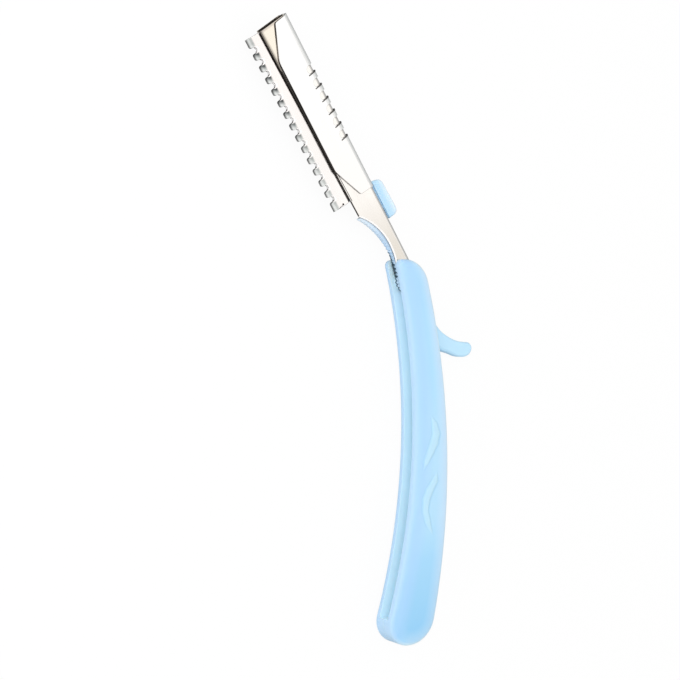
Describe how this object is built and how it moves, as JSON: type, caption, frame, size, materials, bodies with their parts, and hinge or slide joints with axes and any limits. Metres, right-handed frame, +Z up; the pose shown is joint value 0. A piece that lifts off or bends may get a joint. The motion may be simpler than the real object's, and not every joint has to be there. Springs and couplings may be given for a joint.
{
  "type": "replaceable blade straight razor",
  "caption": "Folding straight razor for hair shaping: slotted two-part handle, steel blade holder with a cover, a slide-off comb guard, a strip blade and a thumb pusher.",
  "frame": {"origin": "centre of the underside of the open razor's box; the razor lies open on the back half of its handle", "axes": "+Y from the handle's end towards the blade's tip, +X towards the convex back of the handle, +Z up out of the front half"},
  "size_m": [0.0944, 0.221, 0.0124],
  "materials": {
    "handle_plastic": "smooth moulded, slightly milky pale blue",
    "core_plastic": "moulded pale blue, fine ridges on the hollow edge",
    "tab_plastic": "moulded pale blue",
    "holder_steel": "polished folded sheet with a warm tone",
    "cover_steel": "bright polished sheet",
    "comb_steel": "polished folded sheet, dark rounded tooth tips",
    "blade_steel": "ground strip",
    "pin_steel": "turned pin"
  },
  "bodies": {
    "handle": {"handle_front_half": "handle_plastic", "handle_back_half": "handle_plastic", "pivot_pin": "pin_steel"},
    "arm": {"tang_core": "core_plastic", "blade_holder": "holder_steel", "clamp_cover": "cover_steel"},
    "guard": {"comb_guard": "comb_steel"},
    "pusher": {"blade_pusher": "tab_plastic"},
    "blade": {"razor_blade": "blade_steel"}
  },
  "joints": [
    {"name": "arm_fold", "type": "hinge", "parent": "handle", "child": "arm", "pos_m": [0.01911, 0.02061, 0.0062], "axis": [0, 0, 1], "range_deg": [0, 141]},
    {"name": "guard_slide", "type": "slide", "parent": "arm", "child": "guard", "axis": [-0.5329, 0.8462, 0], "range_m": [0, 0.018]},
    {"name": "pusher_slide", "type": "slide", "parent": "arm", "child": "pusher", "axis": [-0.5329, 0.8462, 0], "range_m": [0, 0.007]},
    {"name": "blade_slide", "type": "slide", "parent": "pusher", "child": "blade", "axis": [-0.5329, 0.8462, 0], "range_m": [0, 0.0135]}
  ]
}
